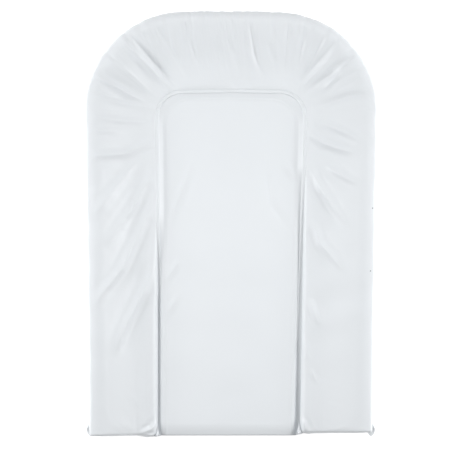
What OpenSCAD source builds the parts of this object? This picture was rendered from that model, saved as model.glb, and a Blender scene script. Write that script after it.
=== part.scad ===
// Changing pad with raised sides: a welded film envelope over four foam pieces.
// Three wedge bolsters make a U that is open at the foot. A flat slab lies between them.
// +Y points to the head end, +X to the right, +Z up. The pad lies on z = 0, centred in plan.

/* [Overall] */
// Length from head edge to foot edge, weld flange included
pad_length = 716; // [600:1:900]
// Width across the head end, weld flange included
pad_width = 490; // [400:1:620]
// Plan radius of the two head corners, at the film wall
head_corner_r = 164; // [90:1:180]
// Angle that each half of the U is turned by: it narrows the foot and arches the head edge
toe_in = 0.9; // [0:0.1:2]

/* [Bolsters] */
// Width of a side bolster, from the seam to the film wall
side_bolster_w = 117; // [80:1:140]
// Width of the head bolster, from the seam to the film wall
head_bolster_w = 130; // [90:1:160]
// Height of a bolster at the seam, its lowest edge
inner_height = 52; // [45:1:60]
// Rise of the bolster's top for each unit of width
slope = 0.31; // [0.2:0.01:0.45]
// Radius of the rolled nose along the outer rim
nose_r = 14; // [8:1:24]

/* [Centre] */
// Height of the flat centre slab
centre_height = 40; // [30:1:44]
// Radius of the slab's shoulders along the slit
shoulder_r = 9; // [4:1:11]
// Radius of the slab's top edge at the foot
foot_edge_r = 14; // [12:1:15]
// Plan radius of the seam at the two head corners
seam_corner_r = 42; // [20:1:60]
// Width of the slit between the slab and the bolsters
slit_w = 3; // [2:0.5:8]

/* [Film cover] */
// Thickness of one layer of film
film = 0.5; // [0.3:0.1:1]
// Height of the weld that joins the top film to the base film
weld_height = 24; // [10:1:28]
// Width of the flat flange outside the weld
flange_w = 4; // [2:0.5:8]
// How far each foot corner tab stands out beyond the flange
tab_out = 7; // [3:0.5:10]
// Length of each foot corner tab along the side
tab_length = 22; // [16:1:40]
// Diameter of a vent hole
vent_d = 2; // [1:0.5:4]
// Distance between the two vent holes
vent_spacing = 104; // [40:1:160]
// Distance of the vent nearer the head from the middle of the pad
vent_y = 27; // [0:1:80]

/* [Fit] */
// Clearance between a foam piece and what surrounds it
foam_gap = 0.3; // [0.1:0.1:1]

/* [Hidden] */

$fn = 96;
film_white = [0.93, 0.95, 0.96];
weld_white = [0.86, 0.89, 0.90];
foam_cream = [0.95, 0.90, 0.74];

// Overlap that lets a cut run clean through
through = 1;
// Rim and shoulder arcs reach this far past the faces they round, so they cross them at an angle
lap = 1;
weld_t = 2 * film;
weld_top = weld_height + weld_t;
foam_inset = film + foam_gap;
foot_y = flange_w - pad_length / 2;

// A U line is [half width at the head corners, y where the head edge peaks, corner radius].
body = [pad_width / 2 - flange_w, pad_length / 2 - flange_w, head_corner_r];
seam = [body.x - side_bolster_w, body.y - head_bolster_w, seam_corner_r];
slab = grown(seam, -slit_w / 2);

// Height of the sloping top at the outer wall of a side bolster, before the nose is rounded
side_rim = inner_height + slope * side_bolster_w;
slope_angle = atan(slope);
nose_z = side_rim - slope * (nose_r - lap) - (nose_r - lap) / cos(slope_angle);
// Well above every face, for the solids that cut or bound the pad
rim_limit = 2 * side_rim;
vent_angle = 40;

// The same line moved outwards, which leaves its corner centres where they are
function grown(line, distance) = line + distance * [1, 1 / cos(toe_in), 1];
// Centre of the right-hand head corner
function corner(line) = [
    line.x - line.z,
    line.y - line.z / cos(toe_in) - (line.x - line.z) * tan(toe_in)
];
// Half width of the area inside a U line where it meets the foot edge
function foot_half_w(line, foot) =
    line.x - line.z + line.z / cos(toe_in) - (corner(line).y - foot) * tan(toe_in);

// Area inside a U line, closed by a straight foot edge
module u_plan(line, foot) {
    centre = corner(line);
    side_end = centre + line.z * [cos(toe_in), -sin(toe_in)];
    head_end = centre + line.z * [sin(toe_in), cos(toe_in)];
    foot_half = foot_half_w(line, foot);
    polygon([
        [-foot_half, foot], [foot_half, foot], side_end, head_end, [0, line.y],
        [-head_end.x, head_end.y], [-side_end.x, side_end.y]
    ]);
    for (side = [-1, 1])
        translate([side * centre.x, centre.y])
            circle(line.z);
}

// Sweeps a profile along a U line: x is the distance outwards from the line, y becomes height.
// Side, corner and half of the head lie in one turned frame, so that they meet face to face.
module u_sweep(line) {
    centre = corner(line);
    for (side = [0, 1])
        mirror([side, 0, 0])
            intersection() {
                translate([centre.x, centre.y, 0])
                    rotate([0, 0, -toe_in]) {
                        rotate_extrude(angle = 90)
                            translate([line.z, 0]) children();
                        rotate([90, 0, 0])
                            linear_extrude(pad_length)
                                translate([line.z, 0]) children();
                        rotate([90, 0, -90])
                            mirror([1, 0, 0])
                                linear_extrude(pad_width)
                                    translate([line.z, 0]) children();
                    }
                translate([0, -2 * pad_length, -rim_limit])
                    cube([pad_width, 4 * pad_length, 2 * rim_limit]);
            }
}

// Every face of the U bolster stands in by inset, and its underside is at bottom
module bolster(inset, bottom) {
    start = slit_w / 2 + inset;
    end = head_bolster_w + nose_r;
    drop = inset / cos(slope_angle);
    difference() {
        intersection() {
            u_sweep(seam)
                polygon([
                    [start, bottom], [end, bottom],
                    [end, inner_height + slope * end - drop],
                    [start, inner_height + slope * start - drop]
                ]);
            translate([0, 0, bottom - through])
                linear_extrude(rim_limit)
                    u_plan(grown(body, -inset), foot_y + inset);
        }
        u_sweep(body)
            edge_cut(nose_r, nose_z, inset);
    }
}

// Profile of what a rounded edge takes off: the wall is at x = 0 and the arc's centre at height z.
// The arc keeps its centre and gets smaller where the faces stand in by inset.
module edge_cut(r, z, inset) {
    difference() {
        translate([-2 * r, z])
            square([2 * r + flange_w, 3 * r]);
        translate([lap - r, z])
            circle(r - inset);
        translate([-2 * r - through, z - through])
            square([r + through + lap, r - inset + through]);
    }
}

// The slab between the bolsters, with its top and its walls standing in by inset
module slab_block(inset, bottom) {
    line = grown(slab, -inset);
    difference() {
        translate([0, 0, bottom])
            linear_extrude(centre_height - inset - bottom)
                u_plan(line, foot_y + inset);
        u_sweep(slab)
            edge_cut(shoulder_r, centre_height + lap - shoulder_r, inset);
        translate([0, foot_y, 0])
            rotate([90, 0, -90])
                linear_extrude(pad_width, center = true)
                    edge_cut(foot_edge_r, centre_height + lap - foot_edge_r, inset);
    }
}

// The film walls stop at the weld on the outside, so this takes away what is below it
module below_weld() {
    translate([0, 0, -through])
        linear_extrude(weld_top + through)
            difference() {
                u_plan(grown(body, through), foot_y - through);
                u_plan(grown(body, -film), foot_y + film);
            }
}

// Base sheet with its edge turned up to the weld
module base_film() {
    color(film_white)
        difference() {
            linear_extrude(weld_height)
                u_plan(body, foot_y);
            translate([0, 0, film])
                linear_extrude(weld_height)
                    u_plan(grown(body, -film), foot_y + film);
        }
}

// Top film over the three bolsters, down the outer wall to the weld and down into the slit
module bolster_film() {
    color(film_white)
        difference() {
            bolster(0, film);
            bolster(film, -through);
            below_weld();
            vent_holes();
        }
}

module vent_holes() {
    centre = corner(body);
    for (step = [0, 1])
        translate([centre.x, centre.y, 0])
            rotate([0, 0, -toe_in])
                translate([body.z + lap - nose_r, vent_y - step * vent_spacing - centre.y, nose_z])
                    rotate([0, 90 - vent_angle, 0])
                        cylinder(h = 2 * nose_r, d = vent_d);
}

// Top film over the slab, down into the slit on three sides and to the weld at the foot
module centre_film() {
    color(film_white)
        difference() {
            slab_block(0, film);
            slab_block(film, -through);
            below_weld();
        }
}

// Flat double layer where top film and base film are welded, all round the pad
module perimeter_weld() {
    color(weld_white)
        translate([0, 0, weld_height])
            linear_extrude(weld_t)
                difference() {
                    u_plan(grown(body, flange_w), foot_y - flange_w);
                    u_plan(grown(body, -film), foot_y + film);
                }
}

// Weld at the bottom of the slit, where the top film is joined to the base film
module seam_weld() {
    color(weld_white)
        translate([0, 0, film])
            linear_extrude(weld_t)
                difference() {
                    u_plan(grown(seam, slit_w / 2), foot_y + film);
                    u_plan(slab, foot_y);
                }
}

// Rounded tab of welded film at the foot corner on the right
module corner_tab() {
    tab_r = (tab_out * tab_out + tab_length * tab_length / 4) / (2 * tab_out);
    rim = grown(body, flange_w);
    foot = foot_y - flange_w;
    color(weld_white)
        translate([0, 0, weld_height])
            linear_extrude(weld_t)
                difference() {
                    translate([foot_half_w(rim, foot) + tab_out - tab_r, foot + tab_length / 2])
                        circle(tab_r);
                    u_plan(rim, foot - tab_length);
                }
}

module right_corner_tab() {
    corner_tab();
}

module left_corner_tab() {
    mirror([1, 0, 0])
        corner_tab();
}

// Foam inside the bolsters, before it is cut at the mitres
module bolster_foam() {
    bolster(foam_inset, foam_inset);
}

// The mitres run out at 45 degrees from the centres of the seam's corners
module side_zone() {
    centre = corner(seam);
    reach = pad_width;
    translate([0, 0, -through])
        linear_extrude(rim_limit)
            polygon([
                [centre.x, -pad_length], [centre.x + reach, -pad_length],
                [centre.x + reach, centre.y + reach], centre
            ]);
}

module head_zone() {
    centre = corner(seam);
    reach = pad_width;
    translate([0, foam_gap, -through])
        linear_extrude(rim_limit)
            polygon([
                [-centre.x, centre.y], [centre.x, centre.y],
                [centre.x + reach, centre.y + reach], [-centre.x - reach, centre.y + reach]
            ]);
}

module right_wedge_foam() {
    color(foam_cream)
        intersection() {
            bolster_foam();
            side_zone();
        }
}

module left_wedge_foam() {
    mirror([1, 0, 0])
        right_wedge_foam();
}

module head_wedge_foam() {
    color(foam_cream)
        intersection() {
            bolster_foam();
            head_zone();
        }
}

module centre_slab_foam() {
    color(foam_cream)
        slab_block(foam_inset, foam_inset);
}

base_film();
bolster_film();
centre_film();
perimeter_weld();
seam_weld();
left_corner_tab();
right_corner_tab();
left_wedge_foam();
right_wedge_foam();
head_wedge_foam();
centre_slab_foam();
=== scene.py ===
# %% [markdown]
# # A padded changing pad in glossy film
# The pad is an envelope of welded film over foam. Three wedge bolsters make a U that is open at the foot,
# and a flat slab lies between them. The film is stretched flat over the foam in the middle, gathered into
# fine pleats where it goes round the head corners, and pulled into slits along the inner weld.
# This file loads the CAD frame, makes each film piece on top of it, and lights it as in a plain studio.

# %% Load the frame
import math
import random

import bpy
import numpy as np
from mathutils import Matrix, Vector


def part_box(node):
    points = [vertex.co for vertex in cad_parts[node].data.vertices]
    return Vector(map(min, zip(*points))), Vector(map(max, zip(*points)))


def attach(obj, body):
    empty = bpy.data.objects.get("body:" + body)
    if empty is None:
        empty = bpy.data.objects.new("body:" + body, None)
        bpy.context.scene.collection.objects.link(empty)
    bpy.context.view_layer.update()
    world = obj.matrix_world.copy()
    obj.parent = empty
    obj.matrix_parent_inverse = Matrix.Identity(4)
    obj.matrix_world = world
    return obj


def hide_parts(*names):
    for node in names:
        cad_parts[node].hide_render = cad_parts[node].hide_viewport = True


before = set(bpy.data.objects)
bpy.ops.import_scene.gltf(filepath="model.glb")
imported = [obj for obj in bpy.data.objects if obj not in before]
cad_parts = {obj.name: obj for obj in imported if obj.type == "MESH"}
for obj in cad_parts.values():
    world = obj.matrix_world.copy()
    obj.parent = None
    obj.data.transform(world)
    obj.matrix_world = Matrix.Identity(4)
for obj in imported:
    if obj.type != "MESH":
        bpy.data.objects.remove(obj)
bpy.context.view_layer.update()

# %% [markdown]
# ## Sizes
# Everything is worked out in millimetres, because film and folds are small, and turned into metres when a
# mesh gets its points. The main sizes come from the CAD nodes. The two radii, the slit, the height at the
# seam and the turn of each half are the design's own values.

# %% Sizes from the frame
MM = 0.001
half_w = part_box("bolster_film")[1].x / MM
head_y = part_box("bolster_film")[1].y / MM
foot_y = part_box("bolster_film")[0].y / MM
rim_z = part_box("bolster_film")[1].z / MM
slab_half_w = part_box("centre_film")[1].x / MM
slab_head_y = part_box("centre_film")[1].y / MM
slab_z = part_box("centre_film")[1].z / MM
weld_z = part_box("perimeter_weld")[0].z / MM
weld_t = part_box("perimeter_weld")[1].z / MM - weld_z
flange_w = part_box("perimeter_weld")[1].x / MM - half_w

# Turn of each half, plan radii of rim and seam at the head corners, slit width, height at the seam
TOE_IN = math.radians(0.9)
HEAD_R = 164
SEAM_R = 42
SLIT = 3
INNER_Z = 52
seam_half_w = slab_half_w + SLIT / 2
seam_head_y = slab_head_y + SLIT / 2

# A U line is half width, y of the head edge at its peak, and corner radius
BODY = (half_w, head_y, HEAD_R)
SEAM = (seam_half_w, seam_head_y, SEAM_R)
print("bolster width at the side", round(half_w - seam_half_w))
print("bolster width at the head", round(head_y - seam_head_y))

# %% [markdown]
# ## Walking along a U line
# Both the seam and the rim are the same kind of line: a side, a round corner, half of the head edge, and
# the same again mirrored. One number, `run`, walks along it: 0 is the left foot, 1 the end of the left
# side, 2 the end of the left corner, 3 the start of the right corner, 4 its end, and 5 the right foot.

# %% Points and directions on a U line
def corner_centre(line):
    """Centre of the right-hand head corner's arc."""
    width, head, radius = line
    x = width - radius
    return x, head - radius / math.cos(TOE_IN) - x * math.tan(TOE_IN)


def u_points(line, run, out=0.0):
    """x and y of the points at run, moved outwards by out."""
    run = np.asarray(run, float)
    mirrored = run > 2.5
    along = np.where(mirrored, 5 - run, run)
    cx, cy = corner_centre(line)
    radius = line[2] + np.asarray(out, float)
    turn = np.clip(along - 1, 0, 1) * math.pi / 2 - TOE_IN
    x = cx + radius * np.cos(turn)
    y = cy + radius * np.sin(turn)
    side = (cy - foot_y) / math.cos(TOE_IN) + line[2] * math.tan(TOE_IN)
    back = np.clip(1 - along, 0, 1) * side
    x = x - back * math.sin(TOE_IN)
    y = y - back * math.cos(TOE_IN)
    peak = line[1] + out / math.cos(TOE_IN)
    share = np.clip((along - 2) / 0.5, 0, 1)
    x = np.where(along > 2, x * (1 - share), x)
    y = np.where(along > 2, y + (peak - y) * share, y)
    return np.where(mirrored, x, -x), y


def edge_distance(line, x, y):
    """How far inside a U line a point lies."""
    cx, cy = corner_centre(line)
    dx, dy = np.abs(x) - cx, y - cy
    turned_x = dx * math.cos(TOE_IN) - dy * math.sin(TOE_IN)
    turned_y = dx * math.sin(TOE_IN) + dy * math.cos(TOE_IN)
    corner = np.hypot(np.maximum(turned_x, 0), np.maximum(turned_y, 0))
    outside = np.where((turned_x > 0) & (turned_y > 0), corner, np.maximum(turned_x, turned_y))
    return line[2] - outside


def run_rows(step):
    """Values of run, about step apart on the outer rim."""
    side = (corner_centre(BODY)[1] - foot_y) / step
    corner = HEAD_R * math.pi / 2 / step
    head = 2 * corner_centre(BODY)[0] / step
    counts = [round(side), round(corner), round(head), round(corner), round(side)]
    rows = [i + np.arange(n) / n for i, n in enumerate(counts)]
    return np.concatenate(rows + [np.array([5.0])])


# %% [markdown]
# ## Small differences between left and right
# A pad that is welded by hand from soft film and foam is never the same on both sides. Towards the foot
# the left slit wanders outwards, and the foot edge sags between its corners. All pieces go through the
# same rule, so that they stay together.

# %% Settle the pattern
FOOT_LINE = [
    (-245, -350), (-150, -354), (-127, -358), (-112, -355),
    (108, -355), (120, -352), (200, -346), (245, -343),
]
LEFT_DRIFT, RIGHT_DRIFT = 7.0, 2.1
FOOT_ZONE = 70


def settle(points):
    """Shifts points in plan, most at the slits and the foot edge, and not at all at the rim."""
    x, y = points[..., 0], points[..., 1]
    down = np.clip((corner_centre(SEAM)[1] - y) / (corner_centre(SEAM)[1] - foot_y), 0, 1)
    seam_x = seam_half_w - 8.4 * down
    within = (np.abs(x) / seam_x) ** 2
    beyond = (half_w - np.abs(x)) / (half_w - seam_x)
    near = np.clip(np.where(np.abs(x) < seam_x, within, beyond), 0, 1)
    shift = np.where(x < 0, -LEFT_DRIFT * down**1.3, -RIGHT_DRIFT * down**2)
    foot = np.interp(x, [p[0] for p in FOOT_LINE], [p[1] for p in FOOT_LINE]) - foot_y
    close = np.clip((foot_y + FOOT_ZONE - y) / FOOT_ZONE, 0, 1) ** 1.5
    settled = points.copy()
    settled[..., 0] = x + shift * near
    settled[..., 1] = y + foot * close
    return settled


# %% [markdown]
# ## Folds in the film
# The film is a flat sheet that has to go round a solid. Where it has too much length it makes folds. The
# long ones are listed one by one, each as a few points in millimetres with a depth and a width, because they
# are what the eye knows the pad by. The fine gathers along the rim follow a seeded random rule.

# %% The long folds, as depth, width and points
LONG_FOLDS = [
    # left bolster
    (-2.0, 8, [(-155, 110), (-190, 65), (-225, 20)]),
    (-2.2, 7, [(-130, 90), (-165, 30), (-205, -30)]),
    (-3.2, 8, [(-128, 40), (-155, -15), (-185, -75), (-225, -130)]),
    (-3.2, 8, [(-130, -68), (-148, -112), (-180, -175), (-193, -212)]),
    (-2.4, 4, [(-123, -330), (-134, -344), (-152, -350)]),
    (-3.0, 7, [(-190, 318), (-156, 283), (-128, 255), (-101, 228)]),
    (1.8, 6, [(-176, 326), (-139, 281), (-91, 229)]),
    (-2.6, 6, [(-238, 255), (-202, 236), (-173, 219), (-145, 206)]),
    (-1.2, 8, [(-205, 281), (-160, 245), (-119, 206)]),
    (-1.0, 5, [(-228, 210), (-175, 202), (-128, 194)]),
    (-1.2, 5, [(-238, 180), (-190, 174), (-138, 171)]),
    (-1.0, 5, [(-236, 156), (-181, 155)]),
    (-2.0, 7, [(-240, 112), (-173, 120), (-128, 140)]),
    # head bolster
    (1.4, 6, [(-130, 340), (-102, 295), (-74, 250)]),
    (1.4, 5, [(-80, 350), (-67, 303), (-45, 246)]),
    (1.0, 5, [(-30, 312), (-13, 255)]),
    (1.2, 5, [(-10, 352), (-5, 308), (12, 264)]),
    (1.0, 5, [(18, 352), (27, 280)]),
    (2.2, 5, [(28, 350), (40, 286), (52, 253)]),
    (1.0, 5, [(63, 305), (70, 272)]),
    (1.2, 5, [(97, 340), (94, 303)]),
    (1.2, 5, [(114, 336), (105, 308)]),
    (1.4, 5, [(124, 340), (113, 262)]),
    (1.0, 5, [(142, 312), (124, 274)]),
    (1.4, 6, [(163, 325), (138, 280), (113, 236)]),
    (1.8, 8, [(180, 312), (152, 280), (124, 245)]),
    (-1.6, 6, [(167, 278), (121, 232)]),
    (1.8, 6, [(214, 290), (175, 258), (126, 222)]),
    (-1.8, 4, [(216, 284), (170, 254)]),
    (-1.4, 4, [(187, 260), (156, 225)]),
    # right bolster
    (1.6, 7, [(242, 220), (195, 214), (144, 198)]),
    (-2.2, 6, [(152, 171), (185, 157), (212, 141)]),
    (-3.0, 7, [(127, 157), (155, 137), (204, 119)]),
    (-2.0, 6, [(160, 98), (210, 67)]),
    (-2.7, 6, [(134, 95), (151, 61), (165, 39), (192, 0)]),
    (-2.5, 7, [(134, 10), (151, -31), (187, -77)]),
    (-1.9, 6, [(132, -125), (148, -168)]),
    (-1.0, 4, [(124, -190), (129, -228)]),
    (-1.0, 4, [(134, -243), (145, -268)]),
    (-2.2, 4, [(121, -326), (127, -348)]),
    (1.6, 4, [(113, -330), (116, -354)]),
]
CENTRE_FOLDS = [
    (1.9, 7, [(-64, 106), (-81, 63), (-108, -5)]),
    (1.6, 6, [(-86, -60), (-116, -102)]),
    (1.4, 6, [(-87, -116), (-110, -156)]),
    (1.3, 6, [(89, 103), (114, 69)]),
    (-1.3, 8, [(59, 98), (69, 31), (98, -10)]),
]


def fold_height(x, y, folds):
    """Height that the folds add at x, y. A fold is sharp at its line and fades towards both ends."""
    height = np.zeros_like(x)
    for depth, width, points in folds:
        nearest = np.full(x.shape, 1e9)
        place = np.zeros_like(x)
        lengths = [math.dist(a, b) for a, b in zip(points, points[1:])]
        walked = 0.0
        for (ax, ay), (bx, by), length in zip(points, points[1:], lengths):
            dx, dy = (bx - ax) / length, (by - ay) / length
            along = np.clip((x - ax) * dx + (y - ay) * dy, 0, length)
            distance = np.hypot(x - ax - along * dx, y - ay - along * dy)
            closer = distance < nearest
            nearest = np.where(closer, distance, nearest)
            place = np.where(closer, (walked + along) / sum(lengths), place)
            walked += length
        fade = np.clip(np.sin(np.pi * (0.02 + 0.96 * place)), 0, 1) ** 0.75
        sharp = np.exp(-((nearest / width) ** 2)) * 0.55 + np.exp(-nearest / (0.45 * width)) * 0.45
        lips = np.exp(-(((nearest - 1.7 * width) / width) ** 2)) * 0.28
        height += depth * fade * (sharp - lips)
    return height


# %% [markdown]
# ## Gathers and waves
# Round the head the film is longer than the rim, so the weld takes it up in hundreds of small gathers that
# run inwards and die out. A seeded random rule places them. Slow waves stand for uneven foam below.

# %% Fine gathers round the rim and slow undulation
def gather_rule(seed, count):
    """Seeded gathers from the rim inwards: place, width, depth, reach inwards, and lean."""
    rng = random.Random(seed)
    gathers = []
    for _ in range(count):
        place = rng.uniform(0.75, 4.25)
        strength = math.exp(-((abs(place - 2.5) / 1.5) ** 6))
        lean = 0.13 * math.exp(-((place - 2.35) ** 2) / 0.15) + rng.uniform(-0.03, 0.03)
        width = rng.uniform(0.010, 0.020)
        depth = strength * rng.choice((-0.5, 1, 1)) * rng.uniform(0.4, 1.15)
        gathers.append((place, width, depth, rng.uniform(0.25, 0.9), lean))
    return gathers


def gather_height(run, across, gathers):
    """Height of the gathers, where across is 0 at the seam and 1 at the rim."""
    height = np.zeros_like(run)
    for place, width, depth, reach, lean in gathers:
        offset = (run - place - lean * (1 - across)) / width
        fade = np.clip((across - (1 - reach)) / reach, 0, 1) ** 0.8
        height += depth * fade * np.exp(-np.abs(offset) ** 1.5)
    return height


def undulation(x, y, seed, wavelength, height, count=10):
    """Slow uneven waves, as foam and slack film make them."""
    rng = random.Random(seed)
    total = np.zeros_like(x)
    for _ in range(count):
        angle = rng.uniform(0, math.pi)
        length = wavelength * rng.uniform(0.6, 1.6)
        phase = rng.uniform(0, 2 * math.pi)
        total += np.sin(2 * np.pi * (x * math.cos(angle) + y * math.sin(angle)) / length + phase)
    return total * height / math.sqrt(count)


# %% [markdown]
# ## Helpers for sheets of film
# Every film piece starts as a flat grid primitive. Its points know their column and row from where they
# lie in the grid, so a rule can carry each of them to its place on the pad, as a cutter's pattern does.

# %% Grid sheet and its clean-up
def deselect():
    if bpy.context.object and bpy.context.object.mode != "OBJECT":
        bpy.ops.object.mode_set(mode="OBJECT")
    bpy.ops.object.select_all(action="DESELECT")


def grid_sheet(name, columns, rows):
    """A flat grid of columns by rows points, with each point's column and row."""
    deselect()
    bpy.ops.mesh.primitive_grid_add(x_subdivisions=columns - 1, y_subdivisions=rows - 1, size=1)
    piece = bpy.context.object
    piece.name = piece.data.name = name
    flat = np.empty(len(piece.data.vertices) * 3)
    piece.data.vertices.foreach_get("co", flat)
    flat = flat.reshape(-1, 3)
    column = np.rint((flat[:, 0] + 0.5) * (columns - 1)).astype(int)
    row = np.rint((flat[:, 1] + 0.5) * (rows - 1)).astype(int)
    return piece, column, row


def lay(piece, column, row, points):
    """Carries each point of the grid to points[row, column], given in millimetres."""
    placed = points[row, column] * MM
    piece.data.vertices.foreach_set("co", placed.ravel())
    piece.data.update()


def close_up(piece, fill=True):
    """Joins edges that meet, closes what is open and makes the faces point outwards."""
    deselect()
    piece.select_set(True)
    bpy.context.view_layer.objects.active = piece
    bpy.ops.object.mode_set(mode="EDIT")
    bpy.ops.mesh.select_all(action="SELECT")
    bpy.ops.mesh.remove_doubles(threshold=0.01 * MM)
    if fill:
        bpy.ops.mesh.select_all(action="DESELECT")
        bpy.ops.mesh.select_non_manifold()
        bpy.ops.mesh.fill()
        bpy.ops.mesh.select_all(action="SELECT")
    bpy.ops.mesh.normals_make_consistent(inside=False)
    bpy.ops.object.mode_set(mode="OBJECT")
    bpy.ops.object.shade_smooth()


def thicken(piece, thickness, offset=1.0):
    """Gives a sheet its thickness with a Solidify modifier."""
    deselect()
    piece.select_set(True)
    bpy.context.view_layer.objects.active = piece
    solidify = piece.modifiers.new("thickness", "SOLIDIFY")
    solidify.thickness = thickness * MM
    solidify.offset = offset
    bpy.ops.object.modifier_apply(modifier=solidify.name)


def surface_normals(points):
    """Unit normals of a grid of points, from its rows and columns."""
    down = np.gradient(points, axis=0)
    right = np.gradient(points, axis=1)
    normal = np.cross(right, down)
    size = np.linalg.norm(normal, axis=2, keepdims=True)
    return normal / np.maximum(size, 1e-9)


def smooth_loop(control, counts):
    """A closed, smooth loop (uniform cubic B-spline) with counts[i] points on its piece i."""
    control = np.array(control, float)
    loop = []
    for i, count in enumerate(counts):
        p0, p1, p2, p3 = (control[(i + k) % len(control)] for k in range(4))
        for t in np.arange(count) / count:
            weights = ((1 - t) ** 3, 3 * t**3 - 6 * t**2 + 4, -3 * t**3 + 3 * t**2 + 3 * t + 1, t**3)
            loop.append((weights[0] * p0 + weights[1] * p1 + weights[2] * p2 + weights[3] * p3) / 6)
    return np.array(loop + [loop[0]])


# %% [markdown]
# ## The bolsters
# On the real pad one sheet of film runs from the weld in the slit, over the wedge and its rolled nose, and
# down the outer wall to the flange. A closed strip that is carried round the U gives that form with its
# rows across the wedge, so that folds can run from rim to seam without steps.

# %% How far the slit is open
def open_share(y, side):
    """0 where the seam is pinched tight at the head, 1 at the foot; side is -1 left and 1 right."""
    left = np.clip((15 - y) / 150, 0, 1)
    right = np.clip((95 - y) / 450, 0, 1) ** 0.65
    return np.where(np.asarray(side) > 0, right, left)


def half_gap(y, side):
    """Half the width of the slit between bolster and centre."""
    widest = np.where(np.asarray(side) > 0, 2.3, 0.45)
    return 0.35 + widest * open_share(y, side)


# %% Section of a bolster
lip_z = INNER_Z - 4.0


def bolster_control(width, opened, gap, head):
    """Control points of a bolster's section, outwards from the seam: slit, wedge, nose, wall, underside.

    head is 1 where the head's gathers pull the nose round, and 0 at the sides, where it is tight.
    """
    low = lip_z - 2.0 * opened
    rise = rim_z - low
    tight = 1 - head
    return [
        (gap, 12),
        (gap, low - 10),
        (gap, low - 1.2 - 4 * opened),
        (gap + 1.8 + 2.5 * opened, low + 0.6),
        (gap + 12, low + 1.6),
        (width * 0.30, low + rise * 0.18),
        (width * 0.55, low + rise * 0.52),
        (width * 0.78, low + rise * 0.87),
        (width - 14 + 2 * tight, rim_z + 1.0 - 0.8 * tight),
        (width - 7.0 + 3.0 * tight, rim_z + 1.0),
        (width - 1.5 + 2.5 * tight, rim_z - 1.5 + 2.4 * tight),
        (width + 2.2 + 1.1 * tight, rim_z - 7.0 + 6.0 * tight),
        (width + 3.0 + 0.4 * tight, rim_z - 17 + 11.0 * tight),
        (width + 3.2 - 0.8 * tight, (rim_z + weld_z) / 2),
        (width + 2.4, weld_z + 13),
        (width + 0.4, weld_z + 6),
        (width - 0.8, weld_z + 2),
        (width - 1.5, weld_z + 0.4),
        (width - 5, weld_z - 4),
        (width - 9, 3),
        (width - 14, 1.2),
        (width * 0.5, 1.2),
        (gap + 8, 1.2),
        (gap + 1, 2.5),
    ]


def section_counts():
    """Points on each piece of a section: close on the film that is seen, far apart below it."""
    control = np.array(bolster_control(122, 0, 0.35, 0.5))
    counts = []
    for i in range(len(control)):
        first, second = control[(i + 1) % len(control)], control[(i + 2) % len(control)]
        spacing = 1.9 if max(first[1], second[1]) > 45 else 5.0
        if max(first[1], second[1]) < weld_z:
            spacing = 16.0
        spacing *= 1
        counts.append(max(1, round(math.dist(first, second) / spacing)))
    return counts


SECTION_COUNTS = section_counts()
print("points round a bolster", sum(SECTION_COUNTS))


# %% Grid of the bolsters
STEP = 2.0
END_R = 4.0


def bolster_grid():
    """Carries the section round the U: its run, its share of the width, the sections and the points."""
    runs = run_rows(STEP)
    inner_x, inner_y = u_points(SEAM, runs)
    outer_x, outer_y = u_points(BODY, runs)
    width = np.hypot(outer_x - inner_x, outer_y - inner_y)
    side = np.sign(inner_x)
    opened = open_share(inner_y, side)
    gap = half_gap(inner_y, side)
    rounding = np.clip((1.35 - np.abs(runs - 2.5)) / 0.6, 0, 1)
    sections = np.stack(
        [
            smooth_loop(bolster_control(w, o, g, h), SECTION_COUNTS)
            for w, o, g, h in zip(width, opened, gap, rounding)
        ]
    )
    share = sections[:, :, 0] / width[:, None]
    x = inner_x[:, None] + (outer_x - inner_x)[:, None] * share
    y = inner_y[:, None] + (outer_y - inner_y)[:, None] * share
    points = np.stack([x, y, sections[:, :, 1]], axis=2)
    return runs, share, sections, points


# %% Folds, gathers and waves on the bolsters
def fold_film(runs, share, points, pleats):
    """Lays the folds, gathers and waves of the bolsters along the film's normals."""
    x, y, z = points[:, :, 0], points[:, :, 1], points[:, :, 2]
    run = np.broadcast_to(runs[:, None], x.shape)
    across = np.clip(share, 0, 1)
    at_rim = np.clip((across - 0.84) / 0.16, 0, 1)
    height = 1.4 * fold_height(x, y, LONG_FOLDS) * (1 - 0.75 * at_rim)
    height += gather_height(run, across, pleats) * (1 - 0.55 * at_rim)
    height += undulation(x, y, 5, 90, 0.45) * np.clip((y + 330) / 200, 0.3, 1)
    height += undulation(x, y, 6, 34, 0.12) * np.clip((y + 150) / 200, 0.2, 1)
    seen = np.clip((z - weld_z - 4) / 12, 0, 1)
    lip = np.clip((share - 0.02) / 0.05, 0, 1)
    return points + surface_normals(points) * (height * seen * lip)[:, :, None]


# %% [markdown]
# ## Ends of the bolsters
# At the foot each bolster is closed by the same film, tucked over the foam's end. The edge is rounded and
# the end face is a little crowned. Rings that shrink towards a line in the middle give both.

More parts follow.
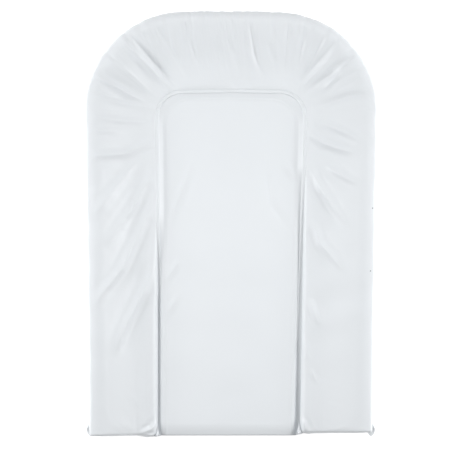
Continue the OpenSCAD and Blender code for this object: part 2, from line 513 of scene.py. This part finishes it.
# %% Rounded ends
def round_ends(points, sections):
    """Closes both feet with a rounded edge and a crowned end face that shrinks towards a spine."""
    def cap(ring, section, outward):
        area = np.sum(section[:-1, 0] * section[1:, 1] - section[1:, 0] * section[:-1, 1])
        ahead = np.roll(section[:-1], -1, axis=0) - np.roll(section[:-1], 1, axis=0)
        inward = np.stack([-ahead[:, 1], ahead[:, 0]], axis=1) * np.sign(area)
        inward /= np.maximum(np.linalg.norm(inward, axis=1, keepdims=True), 1e-9)
        inward = np.concatenate([inward, inward[:1]])
        stages = []
        for turn in np.linspace(0, math.pi / 2, 6)[1:]:
            stages.append((section + inward * END_R * (1 - math.cos(turn)), END_R * math.sin(turn)))
        face = stages[-1][0]
        first, last = np.array((22.0, 26.0)), np.array((92.0, 44.0))
        along = np.clip((face[:, 0:1] - first[0] + 8) / (last[0] - first[0] + 16), 0, 1)
        spine = first + (last - first) * along
        for near in (0.12, 0.28, 0.46, 0.64, 0.80, 0.93):
            stages.append((face + (spine - face) * near, END_R + 3.0 * (1 - (1 - near) ** 2)))
        rings = []
        for flat, out in stages:
            moved = ring.copy()
            moved[:, 0] += outward * (flat[:, 0] - section[:, 0])
            moved[:, 2] = flat[:, 1]
            moved[:, 1] -= out - 9.0 * np.clip((weld_z + 2 - flat[:, 1]) / 5, 0, 1)
            rings.append(moved)
        return rings

    first = cap(points[0], sections[0], -1)
    last = cap(points[-1], sections[-1], 1)
    return np.concatenate([np.stack(first[::-1]), points, np.stack(last)], axis=0)


def shorten_to_foot(points):
    """Pulls the last stretch of each side back, to leave room for its padded end."""
    room = 7.0
    zone = 60.0
    y = points[:, :, 1]
    depth = np.clip((foot_y + zone - y) / zone, 0, 1)
    points = points.copy()
    points[:, :, 1] = y + depth * room
    return points


# %% Bolster cover
def make_bolsters():
    runs, share, sections, points = bolster_grid()
    points = shorten_to_foot(settle(points))
    points = fold_film(runs, share, points, gather_rule(11, 220))
    points = round_ends(points, sections)
    rows, columns = points.shape[:2]
    piece, column, row = grid_sheet("bolster_cover", columns, rows)
    lay(piece, column, row, points)
    close_up(piece)
    return piece


bolster_cover = make_bolsters()
print(bolster_cover.name, "before it is blown up:", len(bolster_cover.data.vertices), "points")

# %% [markdown]
# ## Air in the bolsters
# The film is slack over soft foam with air in it, so between the folds it swells. Cloth with a little
# pressure does the same. How far a point may travel is capped, so that the folds stay where they are.

# %% Pressure from inside
def inflate(piece, held, pressure, frames, cap):
    """Blows the film up a little with Cloth. held says for each point how firmly it is kept (0 to 1)."""
    count = len(piece.data.vertices)
    stiffness = 20.0
    before = np.empty(count * 3)
    piece.data.vertices.foreach_get("co", before)
    before = before.reshape(-1, 3)
    group = piece.vertex_groups.new(name="held")
    for level in np.unique(held):
        if level > 0:
            group.add(np.nonzero(held == level)[0].tolist(), float(level), "REPLACE")
    cloth = piece.modifiers.new("air", "CLOTH")
    film_rule = cloth.settings
    film_rule.quality = 4
    film_rule.mass = 0.15
    film_rule.tension_stiffness = film_rule.compression_stiffness = stiffness
    film_rule.shear_stiffness = stiffness / 3
    film_rule.bending_stiffness = 0.6
    film_rule.tension_damping = film_rule.compression_damping = 8
    film_rule.use_pressure = True
    film_rule.uniform_pressure_force = pressure
    film_rule.vertex_group_mass = "held"
    film_rule.effector_weights.gravity = 0
    cloth.collision_settings.use_collision = False
    cloth.point_cache.frame_start = 1
    cloth.point_cache.frame_end = frames
    for frame_number in range(1, frames + 1):
        bpy.context.scene.frame_set(frame_number)
    blown = piece.evaluated_get(bpy.context.evaluated_depsgraph_get())
    after = np.empty(count * 3)
    blown.data.vertices.foreach_get("co", after)
    move = after.reshape(-1, 3) - before
    travel = np.linalg.norm(move, axis=1, keepdims=True)
    limit = cap * MM
    move *= np.where(travel > 0, limit * np.tanh(travel / limit) / np.maximum(travel, 1e-9), 0)
    piece.modifiers.remove(cloth)
    piece.vertex_groups.clear()
    bpy.context.scene.frame_set(1)
    piece.data.vertices.foreach_set("co", (before + move).ravel())
    piece.data.update()
    print(piece.name, "inflated, furthest point", round(float(travel.max()) / MM, 1), "mm")


def held_on_bolster(piece):
    """The weld, the lip at the seam, the ends and the underside are held; the rest is free."""
    flat = np.empty(len(piece.data.vertices) * 3)
    piece.data.vertices.foreach_get("co", flat)
    x, y, z = (flat.reshape(-1, 3) / MM).T
    lip = (edge_distance(SEAM, x, y) > -3.5) & (z < lip_z + 1.5)
    end = y < foot_y + 4
    return np.where((z < weld_z + 8) | lip | end, 1.0, 0.0)


# %% Blow the bolsters up
inflate(bolster_cover, held_on_bolster(bolster_cover), pressure=2.5, frames=10, cap=4.0)
print(bolster_cover.name, len(bolster_cover.data.polygons), "faces")

# %% [markdown]
# ## The centre
# The centre film lies flat on its slab. Near the head it is pulled up to the seam, so a bright band slopes
# down from the seam to the flat. Towards the foot it turns over a soft shoulder into the slit.

# %% A sheet over the area inside a U line
def u_area(line, share_x, share_y, foot):
    """x and y for shares from -1 to 1 across and 0 to 1 from foot to head, with the corners rounded off."""
    width, head, radius = line
    cx, cy = corner_centre(line)
    y = foot + share_y * (head - foot)
    x = share_x * width
    u = np.clip((np.abs(x) - cx) / radius, 0, 1)
    v = np.clip((y - cy) / (head - cy), 0, 1)
    in_corner = (u > 0) & (v > 0)
    x_round = cx + radius * u * np.sqrt(1 - v**2 / 2)
    y_round = cy + (head - cy) * v * np.sqrt(1 - u**2 / 2)
    x = np.where(in_corner, np.sign(x) * x_round, x)
    y = np.where(in_corner, y_round, y)
    lean = np.clip((cy - y) * math.tan(TOE_IN), 0, None)
    return x * (1 - lean / width), y


def shares(count, fine):
    """Values from 0 to 1 that are closer together near both ends."""
    t = np.linspace(0, 1, count)
    return t - fine * np.sin(2 * np.pi * t) / (2 * np.pi)


# %% Height of the centre
def centre_height(x, y):
    """Height of the centre film over the slab, before its small folds."""
    inside = edge_distance(SEAM, x, y)
    opened = open_share(y, np.sign(x))
    cx, cy = corner_centre(SEAM)
    in_corner = np.clip((np.abs(x) - cx + 10) / 30, 0, 1) * np.clip((y - cy + 10) / 30, 0, 1)
    band = 11.5 + 8 * in_corner + 1.0 * (x > 0)
    shoulder = np.where(x > 0, 12.0, 6.0)
    top = slab_z + 0.8 + 4.0 * np.exp(-np.clip(seam_head_y - y, 0, None) / 50)
    rising = (lip_z - 0.2 - top) * np.clip(1 - (inside - 0.5) / band, 0, 1) ** 1.1
    falling = np.where(x > 0, -10.0, -6.0) * np.clip(1 - (inside - 0.5) / shoulder, 0, 1) ** 2.4
    ridge = 0.45 * np.exp(-(((inside - band - 0.5) / 1.5) ** 2))
    height = top + rising * (1 - opened) ** 1.5 + falling * opened**0.8 + ridge
    foot = np.clip((foot_y + 19 - y) / 19, 0, 1)
    return height - 3.4 * foot**1.8


# %% Centre cover
def make_centre():
    """A grid over the area inside the seam, with walls that go down round the slab."""
    columns, rows = ((150, 300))
    walls = 7
    across = shares(columns, 0.75) * 2 - 1
    up = shares(rows, 0.6)
    line = (seam_half_w - 0.4, seam_head_y - 0.4, SEAM_R - 0.4)
    grid_x, grid_y = np.meshgrid(across, up)
    x, y = u_area(line, grid_x, grid_y, foot_y + 1.0)
    z = centre_height(x, y)
    squeeze = (half_gap(y, np.sign(x)) - 0.35) * np.abs(grid_x) ** 8
    points = settle(np.stack([x - np.sign(x) * squeeze, y, z], axis=2))
    px, py = points[:, :, 0], points[:, :, 1]
    lift = fold_height(px, py, CENTRE_FOLDS)
    lift = lift + undulation(px, py, 21, 120, 0.22) + undulation(px, py, 22, 45, 0.08)
    calm = np.clip((edge_distance(SEAM, x, y) - 4) / 20, 0, 1) * np.clip((y - foot_y) / 25, 0, 1)
    points[:, :, 2] += lift * calm
    rim = np.pad(points, ((walls, walls), (walls, walls), (0, 0)), mode="edge")
    ys, xs = np.indices(rim.shape[:2])
    depth = np.maximum.reduce([walls - xs, walls - ys, xs - columns - walls + 1, ys - rows - walls + 1])
    depth = np.clip(depth, 0, walls) / walls
    rim[:, :, 2] = rim[:, :, 2] * (1 - depth) + 2.0 * depth
    rim[:, :, 0] *= 1 - 0.006 * depth
    rim[:, :, 1] -= np.where(ys < walls + 1, 2.5 * np.sin(np.pi * np.clip(depth * 1.4 + 0.15, 0, 1)), 0)
    piece, column, row = grid_sheet("centre_cover", rim.shape[1], rim.shape[0])
    lay(piece, column, row, rim)
    close_up(piece)
    return piece


centre_cover = make_centre()
print(centre_cover.name, len(centre_cover.data.polygons), "faces")

# %% [markdown]
# ## The weld bead along the seam
# A hot bar welds the films of bolster and centre together. It leaves a narrow raised line, which is tight
# at the head and dives into the slit where that opens.

# %% Weld bead
def make_bead():
    """A narrow strip along the seam, with a ridge where the head is tight and a trough in the open slit."""
    runs = run_rows(STEP)
    x, y = u_points(SEAM, runs)
    out_x, out_y = u_points(SEAM, runs, out=1.0)
    side = np.sign(x)
    opened = open_share(y, side)
    reach = 1.0 + 0.5 * (half_gap(y, side)[:, None] - 0.35)
    offsets = np.array([-3.2, -2.2, -1.5, -0.9, -0.3, 0.3, 0.9, 1.5, 2.2, 3.2])[None, :] * reach
    tight = np.array([-0.9, -0.3, 0.1, 0.3, 0.0, 0.0, 0.3, 0.45, 0.5, 0.3])[None, :]
    wide = np.array([1.5, 0.6, 0.2, 0.0, 0.0, 0.0, 0.0, 0.2, 0.6, 1.5])[None, :]
    lift = tight + (wide - tight) * np.clip(opened * 3, 0, 1)[:, None]
    depth = np.where(side > 0, 15.0, 11.5) * opened
    points = np.stack(
        [
            x[:, None] + (out_x - x)[:, None] * offsets,
            y[:, None] + (out_y - y)[:, None] * offsets,
            lip_z + 0.3 - depth[:, None] + lift,
        ],
        axis=2,
    )
    piece, column, row = grid_sheet("seam_bead", points.shape[1], points.shape[0])
    lay(piece, column, row, settle(points))
    close_up(piece, fill=False)
    thicken(piece, 0.8)
    return piece


seam_bead = make_bead()
print(seam_bead.name, len(seam_bead.data.polygons), "faces")

# %% [markdown]
# ## Base film, flange and tabs
# The base film is a second sheet under the foam. Its edge turns up to the weld, where both films are
# pressed flat into a narrow flange. The flange can't follow the round corners without rippling.

# %% The closed rim line
def rim_loop(step):
    """Points all round the pad at the film wall, with outward directions and the run."""
    runs = run_rows(step)
    x, y = u_points(BODY, runs)
    foot = np.linspace(0, 1, round(2 * abs(x[0]) / step))[1:-1]
    x = np.concatenate([x, x[-1] + (x[0] - x[-1]) * foot])
    y = np.concatenate([y, np.full(foot.shape, foot_y)])
    run = np.concatenate([runs, np.full(foot.shape, np.nan)])
    ahead_x = np.roll(x, -2) - np.roll(x, 2)
    ahead_y = np.roll(y, -2) - np.roll(y, 2)
    size = np.hypot(ahead_x, ahead_y)
    return x, y, -ahead_y / size, ahead_x / size, run


def ring_sheet(name, x, y, out_x, out_y, offsets, heights):
    """A sheet that runs once round the rim: offsets outwards and heights are given for each row."""
    wide_x = x[:, None] + out_x[:, None] * offsets
    wide_y = y[:, None] + out_y[:, None] * offsets
    points = np.stack([wide_x, wide_y, heights], axis=2)
    points = np.concatenate([points, points[:1]], axis=0)
    piece, column, row = grid_sheet(name, points.shape[1], points.shape[0])
    lay(piece, column, row, settle(points))
    return piece


# %% Base cover
def make_base():
    """The turned-up edge of the base film, closed below."""
    x, y, out_x, out_y, run = rim_loop(STEP * 1.5)
    profile_out = np.array([-0.6, 0.2, 0.9, 0.9, 0.3, -1.2, -3.6, -8.0, -16.0])
    profile_z = np.array([weld_z, weld_z - 3, weld_z - 8, 12.0, 7.0, 3.4, 1.2, 0.5, 0.5])
    offsets = np.tile(profile_out, (len(x), 1))
    wave = undulation(x, y, 31, 60, 0.5)[:, None] + undulation(x, y, 32, 18, 0.25)[:, None]
    offsets += wave * np.array([0, 0.3, 0.8, 1, 1, 0.6, 0.2, 0, 0])
    heights = np.tile(profile_z, (len(x), 1))
    piece = ring_sheet("base_cover", x, y, out_x, out_y, offsets, heights)
    close_up(piece, fill=False)
    close_underside(piece)
    thicken(piece, 0.5, offset=-1.0)
    return piece


def close_underside(piece):
    """Fills the hole in the underside, which is flat."""
    deselect()
    piece.select_set(True)
    bpy.context.view_layer.objects.active = piece
    bpy.ops.object.mode_set(mode="EDIT")
    bpy.ops.mesh.select_all(action="DESELECT")
    bpy.ops.mesh.select_non_manifold()
    bpy.ops.object.mode_set(mode="OBJECT")
    for vertex in piece.data.vertices:
        vertex.select = vertex.select and vertex.co.z < 1.0 * MM
    for edge in piece.data.edges:
        edge.select = all(piece.data.vertices[i].select for i in edge.vertices)
    bpy.ops.object.mode_set(mode="EDIT")
    bpy.ops.mesh.edge_face_add()
    bpy.ops.mesh.select_all(action="SELECT")
    bpy.ops.mesh.normals_make_consistent(inside=False)
    bpy.ops.object.mode_set(mode="OBJECT")


base_cover = make_base()
print(base_cover.name, len(base_cover.data.polygons), "faces")

# %% [markdown]
# ## Flange
# Outside the weld a narrow band of the two films is left over. It ripples round the head, is pinched in
# at the strongest pleats, and at the left it curls up into a small loop.

# %% Flange
NICKS = [
    (-183, 326, 2.6), (-230, 248, 3.0), (-74, 354, 1.8),
    (34, 354, 2.4), (126, 347, 2.2), (213, 283, 3.0),
]
LOOP_Y, CURL_Y = 201, 249


def nick_depth(x, y):
    """How far the rim is pinched in at the strong pleats."""
    depth = np.zeros_like(x)
    for nick_x, nick_y, pinch in NICKS:
        depth += 0.6 * pinch * np.exp(-((np.hypot(x - nick_x, y - nick_y) / 5.0) ** 2))
    return depth


def make_flange():
    """One flat band round the rim, wavy at its free edge."""
    x, y, out_x, out_y, run = rim_loop(STEP)
    at_foot = np.isnan(run)
    run = np.where(at_foot, 0, run)
    spread = np.where(at_foot, 0.25, 1.0)
    offsets = np.array([-1.5, -0.2, 1.0, 2.2, 3.3, flange_w])[None, :] * spread[:, None]
    offsets = offsets - nick_depth(x, y)[:, None] * (offsets > 0)
    head = np.exp(-((np.abs(run - 2.5) / 1.7) ** 6))[:, None]
    wave = np.sin(run * 90) * 0.8 + np.sin(run * 57 + 1) * 0.8 + np.sin(run * 143 + 2) * 0.4
    free = np.clip(offsets / flange_w, 0, 1)
    heights = weld_z + weld_t / 2 + wave[:, None] * free * (0.35 + 0.9 * head)
    loop = np.exp(-(((y - LOOP_Y) / 9.0) ** 2)) * (x < 0)
    heights += (loop[:, None] * free) * 11.0
    curl = np.exp(-(((y - CURL_Y) / 6.0) ** 2)) * (x < 0)
    offsets = offsets + (3.0 * loop + 2.5 * curl)[:, None] * free
    piece = ring_sheet("weld_flange", x, y, out_x, out_y, offsets, heights)
    close_up(piece, fill=False)
    thicken(piece, weld_t, offset=0.0)
    return piece


weld_flange = make_flange()
print(weld_flange.name, len(weld_flange.data.polygons), "faces")


# %% [markdown]
# ## Corner tabs
# Where the flange of a side meets that of the foot, a rounded ear of welded film is left at the corner.

# %% Corner tabs
def make_tab(name, side):
    """A round ear in the place of its CAD node, a little curled."""
    low, high = (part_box(name)[i] / MM for i in (0, 1))
    columns, rows = 12, 22
    share_x, share_y = np.meshgrid(np.linspace(-1, 1, columns), np.linspace(-1, 1, rows))
    round_x = share_x * np.sqrt(1 - share_y**2 / 2)
    round_y = share_y * np.sqrt(1 - share_x**2 / 2)
    width = high.x - low.x + 6
    outer = high.x if side > 0 else low.x
    x = outer - side * width / 2 + round_x * width / 2
    y = (low.y + high.y) / 2 + round_y * (high.y - low.y) / 2
    free = np.clip(side * (x - (outer - side * width)) / width, 0, 1)
    z = weld_z + weld_t / 2 + free**2 * 2.5 * np.sin(share_y * 2.2 + 0.4)
    piece, column, row = grid_sheet(name.replace("_tab", "_ear"), columns, rows)
    lay(piece, column, row, np.stack([x, y, z], axis=2))
    close_up(piece, fill=False)
    thicken(piece, weld_t, offset=0.0)
    return piece


left_ear = make_tab("left_corner_tab", -1)
right_ear = make_tab("right_corner_tab", 1)

# %% [markdown]
# ## Vent holes and slit tufts
# Two pin holes through the film let air out of the foam when the pad is leaned on. Each is drawn as a dark
# disc of painted shade on the film, for the shade inside the hole. At the foot each slit ends in a small
# tuft, where the film of bolster, centre and base is drawn together by the weld.

# %% Vent holes
VENTS = [(234.8, 27.0), (233.0, -77.0)]


def make_vent_shade_discs():
    """Two small discs of painted shade on the film, where it is pierced: their dark stands for the shade
    inside the holes.
    """
    vertices = bolster_cover.data.vertices
    deselect()
    discs = []
    for x, y in VENTS:
        near = min(
            (vertex for vertex in vertices if vertex.co.z > INNER_Z * MM and vertex.normal.z > 0.2),
            key=lambda vertex: math.dist((vertex.co.x, vertex.co.y), (x * MM, y * MM)),
        )
        middle = near.co + near.normal * 0.05 * MM
        bpy.ops.mesh.primitive_cylinder_add(vertices=20, radius=0.9 * MM, depth=0.4 * MM, location=middle)
        disc = bpy.context.object
        disc.rotation_euler = near.normal.to_track_quat("Z", "Y").to_euler()
        bpy.ops.object.transform_apply(location=True, rotation=True, scale=True)
        discs.append(disc)
    for disc in discs:
        disc.select_set(True)
    bpy.context.view_layer.objects.active = discs[0]
    bpy.ops.object.join()
    bpy.ops.object.shade_flat()
    # These discs are painted shade for the inside of the pierced holes, not a dark part of the film.
    discs[0].name = discs[0].data.name = "vent_holes"
    return discs[0]


vent_holes = make_vent_shade_discs()
print(vent_holes.name, len(vent_holes.data.polygons), "faces")


# %% Slit tufts
def make_tuft(name, tip, left, right, seed):
    """A crumpled triangle of film from its tip in the slit to the foot, where it hangs over the end."""
    columns, rows = 17, 26
    across, along = np.meshgrid(np.linspace(-1, 1, columns), np.linspace(0.06, 1, rows))
    end_y = foot_y - 2.0
    x = tip[0] + ((left + right) / 2 - tip[0]) * along + across * (right - left) / 2 * along
    y = tip[1] + (end_y - tip[1]) * along
    z = lip_z - 9.0 + 8.5 * along**0.8 - 2.0 * along * np.abs(across) ** 1.5
    z += 0.9 * along * np.cos(across * 6.5 + 0.6) - 20.0 * np.clip((along - 0.80) / 0.20, 0, 1) ** 1.6
    z += undulation(x, y, seed, 9, 0.25)
    piece, column, row = grid_sheet(name, columns, rows)
    lay(piece, column, row, settle(np.stack([x, y, z], axis=2)))
    close_up(piece, fill=False)
    thicken(piece, 0.6, offset=0.0)
    return piece


right_tuft = make_tuft("right_tuft", (116.5, -334.0), 111.5, 121.0, 41)
left_tuft = make_tuft("left_tuft", (-117.0, -338.0), -121.5, -113.0, 42)
print(right_tuft.name, left_tuft.name, len(right_tuft.data.polygons), "faces each")

# %% [markdown]
# ## Film material
# The film is a soft vinyl: a cool white with a faint uneven tone, a fine printed grain that breaks up the
# gloss, and small slack wrinkles. One class turns Python sums into shader nodes, to keep the recipe short.

# %% Sockets as numbers
class Wire:
    """A node socket that can be used in sums."""

    def __init__(self, recipe, socket):
        self.recipe = recipe
        self.socket = socket

    def math(self, operation, other, swap=False):
        pair = [self, other]
        if swap:
            pair.reverse()
        return self.recipe.node("ShaderNodeMath", {"operation": operation}, {0: pair[0], 1: pair[1]})

    def __add__(self, other):
        return self.math("ADD", other)

    def __mul__(self, other):
        return self.math("MULTIPLY", other)

    def __sub__(self, other):
        return self.math("SUBTRACT", other)

    def __rsub__(self, other):
        return self.math("SUBTRACT", other, swap=True)

    __radd__ = __add__
    __rmul__ = __mul__


class Recipe:
    """One material's nodes."""

    def __init__(self, name):
        self.material = bpy.data.materials.new(name)
        self.material.use_nodes = True
        self.tree = self.material.node_tree
        self.shader = self.tree.nodes["Principled BSDF"]

    def node(self, kind, settings=None, inputs=None, output=0):
        made = self.tree.nodes.new(kind)
        for key, value in (settings or {}).items():
            setattr(made, key, value)
        for key, value in (inputs or {}).items():
            if isinstance(value, Wire):
                self.tree.links.new(value.socket, made.inputs[key])
            else:
                made.inputs[key].default_value = value
        return Wire(self, made.outputs[output])

    def blend(self, factor, first, second):
        return self.node(
            "ShaderNodeMix", {"data_type": "RGBA"}, {0: factor, 6: first, 7: second}, output=2
        )

    def feed(self, socket, value):
        if isinstance(value, Wire):
            self.tree.links.new(value.socket, self.shader.inputs[socket])
        else:
            self.shader.inputs[socket].default_value = value


# %% Vinyl film
def vinyl(name, light, shade, roughness, grain=0.10, wrinkle=0.25):
    """Soft vinyl film. light and shade are the tones that its colour drifts between."""
    recipe = Recipe(name)
    place = recipe.node("ShaderNodeTexCoord", output="Object")
    drift = recipe.node("ShaderNodeTexNoise", {}, {"Vector": place, "Scale": 6.0, "Detail": 3.0})
    pebble = recipe.node("ShaderNodeTexVoronoi", {"feature": "SMOOTH_F1"}, {"Vector": place, "Scale": 900.0})
    fine = {"Vector": place, "Scale": 60.0, "Detail": 4.0, "Roughness": 0.55}
    slack = recipe.node("ShaderNodeTexNoise", {}, fine)
    recipe.feed("Base Color", recipe.blend(drift, light, shade))
    recipe.feed("Roughness", roughness + (drift - 0.5) * 0.12 + pebble * 0.05)
    height = pebble * grain + slack * wrinkle
    bump = recipe.node("ShaderNodeBump", {}, {"Height": height, "Strength": 0.25, "Distance": 0.0012})
    recipe.feed("Normal", bump)
    recipe.feed("IOR", 1.48)
    recipe.feed("Specular IOR Level", 0.5)
    return recipe.material


film = vinyl("vinyl_film", (0.735, 0.76, 0.785, 1), (0.705, 0.735, 0.76, 1), roughness=0.42)
# hole_shade is painted shade: the dark of the vent discs stands for the shade inside the holes.
hole = vinyl("hole_shade", (0.22, 0.23, 0.24, 1), (0.18, 0.19, 0.20, 1), roughness=0.6)
# The welded film is the film in a lighter tone: painted light that lifts the flange and corner ears out of
# the shade low on the walls. Its higher gloss and coarser grain are the weld's own.
weld = vinyl(
    "welded_film_painted_light", (0.76, 0.785, 0.805, 1), (0.72, 0.75, 0.77, 1), roughness=0.32, grain=0.25, wrinkle=0.1
)
print("materials", film.name, hole.name, weld.name)

# %% [markdown]
# ## Put the pieces on the frame
# Each film piece says which CAD solids it stands for, which body it rides on and which finish it takes.

# %% Ride, replace and finish
WEDGES = ("left_wedge_foam", "right_wedge_foam", "head_wedge_foam")


def place_on_pad(piece, slot, material, *nodes):
    """Gives a piece its material, body and the nodes it stands for. The slot argument is not used."""
    piece.data.materials.clear()
    piece.data.materials.append(material)
    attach(piece, "root")
    if nodes:
        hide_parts(*nodes)


place_on_pad(bolster_cover, "film", film, "bolster_film", *WEDGES)
place_on_pad(centre_cover, "film", film, "centre_film", "centre_slab_foam")
place_on_pad(base_cover, "film", film, "base_film")
place_on_pad(seam_bead, "weld", film, "seam_weld")
place_on_pad(right_tuft, "film", film)
place_on_pad(left_tuft, "film", film)
place_on_pad(vent_holes, None, hole)
place_on_pad(weld_flange, "weld", weld, "perimeter_weld")
place_on_pad(left_ear, "weld", weld, "left_corner_tab")
place_on_pad(right_ear, "weld", weld, "right_corner_tab")

# %% [markdown]
# ## Studio
# A pale floor that glows a little, so that it stays white, two broad soft boxes at the left and right, a
# weak one above and a sky that is brighter beyond the head. The soft boxes sit low at the sides, so slopes
# that face the head or the foot are a little darker, and folds show by their tilt.

# %% Floor
def plain_floor():
    """A wide pale floor just under the pad."""
    deselect()
    bpy.ops.mesh.primitive_plane_add(size=30, location=(0, 0, -0.0005))
    floor = bpy.context.object
    floor.name = "floor"
    recipe = Recipe("pale_floor")
    recipe.feed("Base Color", (0.55, 0.55, 0.55, 1))
    recipe.feed("Roughness", 0.9)
    recipe.feed("Emission Color", (1, 1, 1, 1))
    recipe.feed("Emission Strength", 0.8)
    floor.data.materials.append(recipe.material)
    return floor


print("stage", plain_floor().name)


# %% Soft boxes
def soft_box(name, place, target, size, power):
    """A rectangular lamp at place that is aimed at target and not seen itself."""
    light = bpy.data.lights.new(name, "AREA")
    light.shape = "RECTANGLE"
    light.size, light.size_y = size
    light.energy = power
    lamp = bpy.data.objects.new(name, light)
    lamp.location = place
    lamp.visible_camera = False
    lamp.rotation_euler = (Vector(target) - Vector(place)).to_track_quat("-Z", "Y").to_euler()
    bpy.context.scene.collection.objects.link(lamp)
    return lamp


SIDE_POWER, TOP_POWER, SKY, SKY_LEAN = 25.8, 1.77, 0.322, 1.0
SIDE_SIZE, TOP_SIZE = (0.9, 0.8), (0.8, 0.5)
soft_box("soft_box_left", (-1.6, 0.05, 0.86), (0, 0, 0.05), SIDE_SIZE, SIDE_POWER)
soft_box("soft_box_right", (1.6, 0.05, 0.86), (0, 0, 0.05), SIDE_SIZE, SIDE_POWER)
soft_box("soft_box_top", (0, 0.04, 1.15), (0, 0.04, 0), TOP_SIZE, TOP_POWER)
print("lamps", SIDE_POWER, "W at the sides and", TOP_POWER, "W above")


# %% Sky
def leaning_sky(strength, lean):
    """An even sky that is somewhat brighter beyond the head end than beyond the foot."""
    world = bpy.data.worlds.new("even_sky")
    world.use_nodes = True
    nodes, links = world.node_tree.nodes, world.node_tree.links
    direction = nodes.new("ShaderNodeTexCoord")
    parts = nodes.new("ShaderNodeSeparateXYZ")
    level = nodes.new("ShaderNodeMath")
    level.operation = "MULTIPLY_ADD"
    level.inputs[1].default_value = strength * lean
    level.inputs[2].default_value = strength
    links.new(direction.outputs["Generated"], parts.inputs[0])
    links.new(parts.outputs["Y"], level.inputs[0])
    links.new(level.outputs[0], nodes["Background"].inputs["Strength"])
    nodes["Background"].inputs["Color"].default_value = (1, 1, 1, 1)
    bpy.context.scene.world = world


leaning_sky(SKY, SKY_LEAN)
bpy.context.scene.view_settings.view_transform = "Standard"

# %% Camera
CAMERA_HEIGHT = 4.0
FRAME_WIDTH = 0.756
FRAME_LEVEL = 0.05
SENSOR = 36
camera_data = bpy.data.cameras.new("camera")
camera_data.sensor_width = SENSOR
camera_data.lens = SENSOR * (CAMERA_HEIGHT - FRAME_LEVEL) / FRAME_WIDTH
camera = bpy.data.objects.new("camera", camera_data)
camera.location = (-0.010, -0.001, CAMERA_HEIGHT)
bpy.context.scene.collection.objects.link(camera)
bpy.context.scene.camera = camera
print("camera lens", round(camera_data.lens, 1), "mm")
